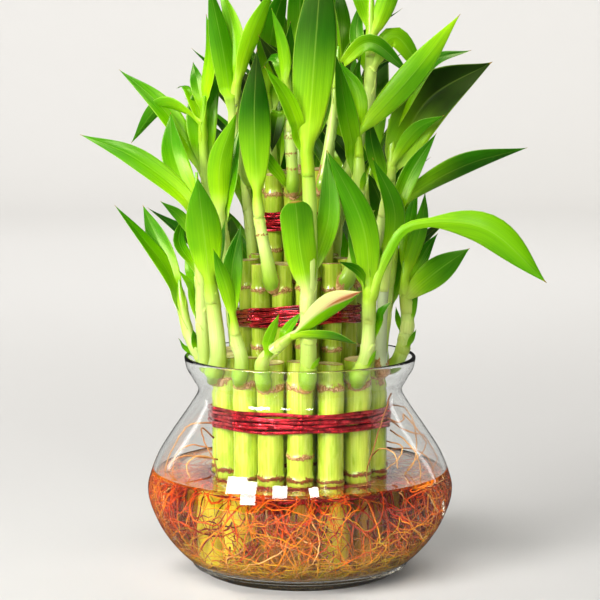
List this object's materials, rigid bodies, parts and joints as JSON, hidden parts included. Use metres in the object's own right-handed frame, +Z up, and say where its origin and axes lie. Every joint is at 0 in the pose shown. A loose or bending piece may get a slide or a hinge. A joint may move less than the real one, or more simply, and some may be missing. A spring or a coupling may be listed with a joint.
{
  "type": "lucky bamboo in a glass bowl",
  "caption": "Tiered lucky bamboo: rings of cut canes with leafy shoots, tied with red wire, rooted in water in a round flared glass bowl.",
  "frame": {"origin": "middle of the underside of the bowl's flat foot", "axes": "+Z up along the canes, -Y to the front as pictured, +X to its right"},
  "size_m": [0.242, 0.1938, 0.3343],
  "materials": {
    "glass": "gloss",
    "water": "gloss",
    "roots": "satin",
    "wire": "gloss",
    "stalk": "satin",
    "leaf": "satin"
  },
  "bodies": {
    "root": {"bowl": "glass", "water": "water", "roots": "roots", "tie_outer_lower": "wire", "tie_outer": "wire", "tie_middle": "wire", "tie_inner": "wire", "outer_stalk_01": "stalk", "outer_stalk_02": "stalk", "outer_stalk_03": "stalk", "outer_stalk_04": "stalk", "outer_stalk_05": "stalk", "outer_stalk_06": "stalk", "outer_stalk_07": "stalk", "outer_stalk_08": "stalk", "outer_stalk_09": "stalk", "outer_stalk_10": "stalk", "outer_stalk_11": "stalk", "outer_stalk_12": "stalk", "outer_stalk_13": "stalk", "outer_stalk_14": "stalk", "outer_stalk_15": "stalk", "outer_stalk_16": "stalk", "middle_stalk_01": "stalk", "middle_stalk_02": "stalk", "middle_stalk_03": "stalk", "middle_stalk_04": "stalk", "middle_stalk_05": "stalk", "middle_stalk_06": "stalk", "middle_stalk_07": "stalk", "middle_stalk_08": "stalk", "middle_stalk_09": "stalk", "middle_stalk_10": "stalk", "middle_stalk_11": "stalk", "middle_stalk_12": "stalk", "inner_stalk_01": "stalk", "inner_stalk_02": "stalk", "inner_stalk_03": "stalk", "inner_stalk_04": "stalk", "inner_stalk_05": "stalk", "inner_stalk_06": "stalk", "inner_stalk_07": "stalk", "inner_stalk_08": "stalk"}
  },
  "joints": []
}
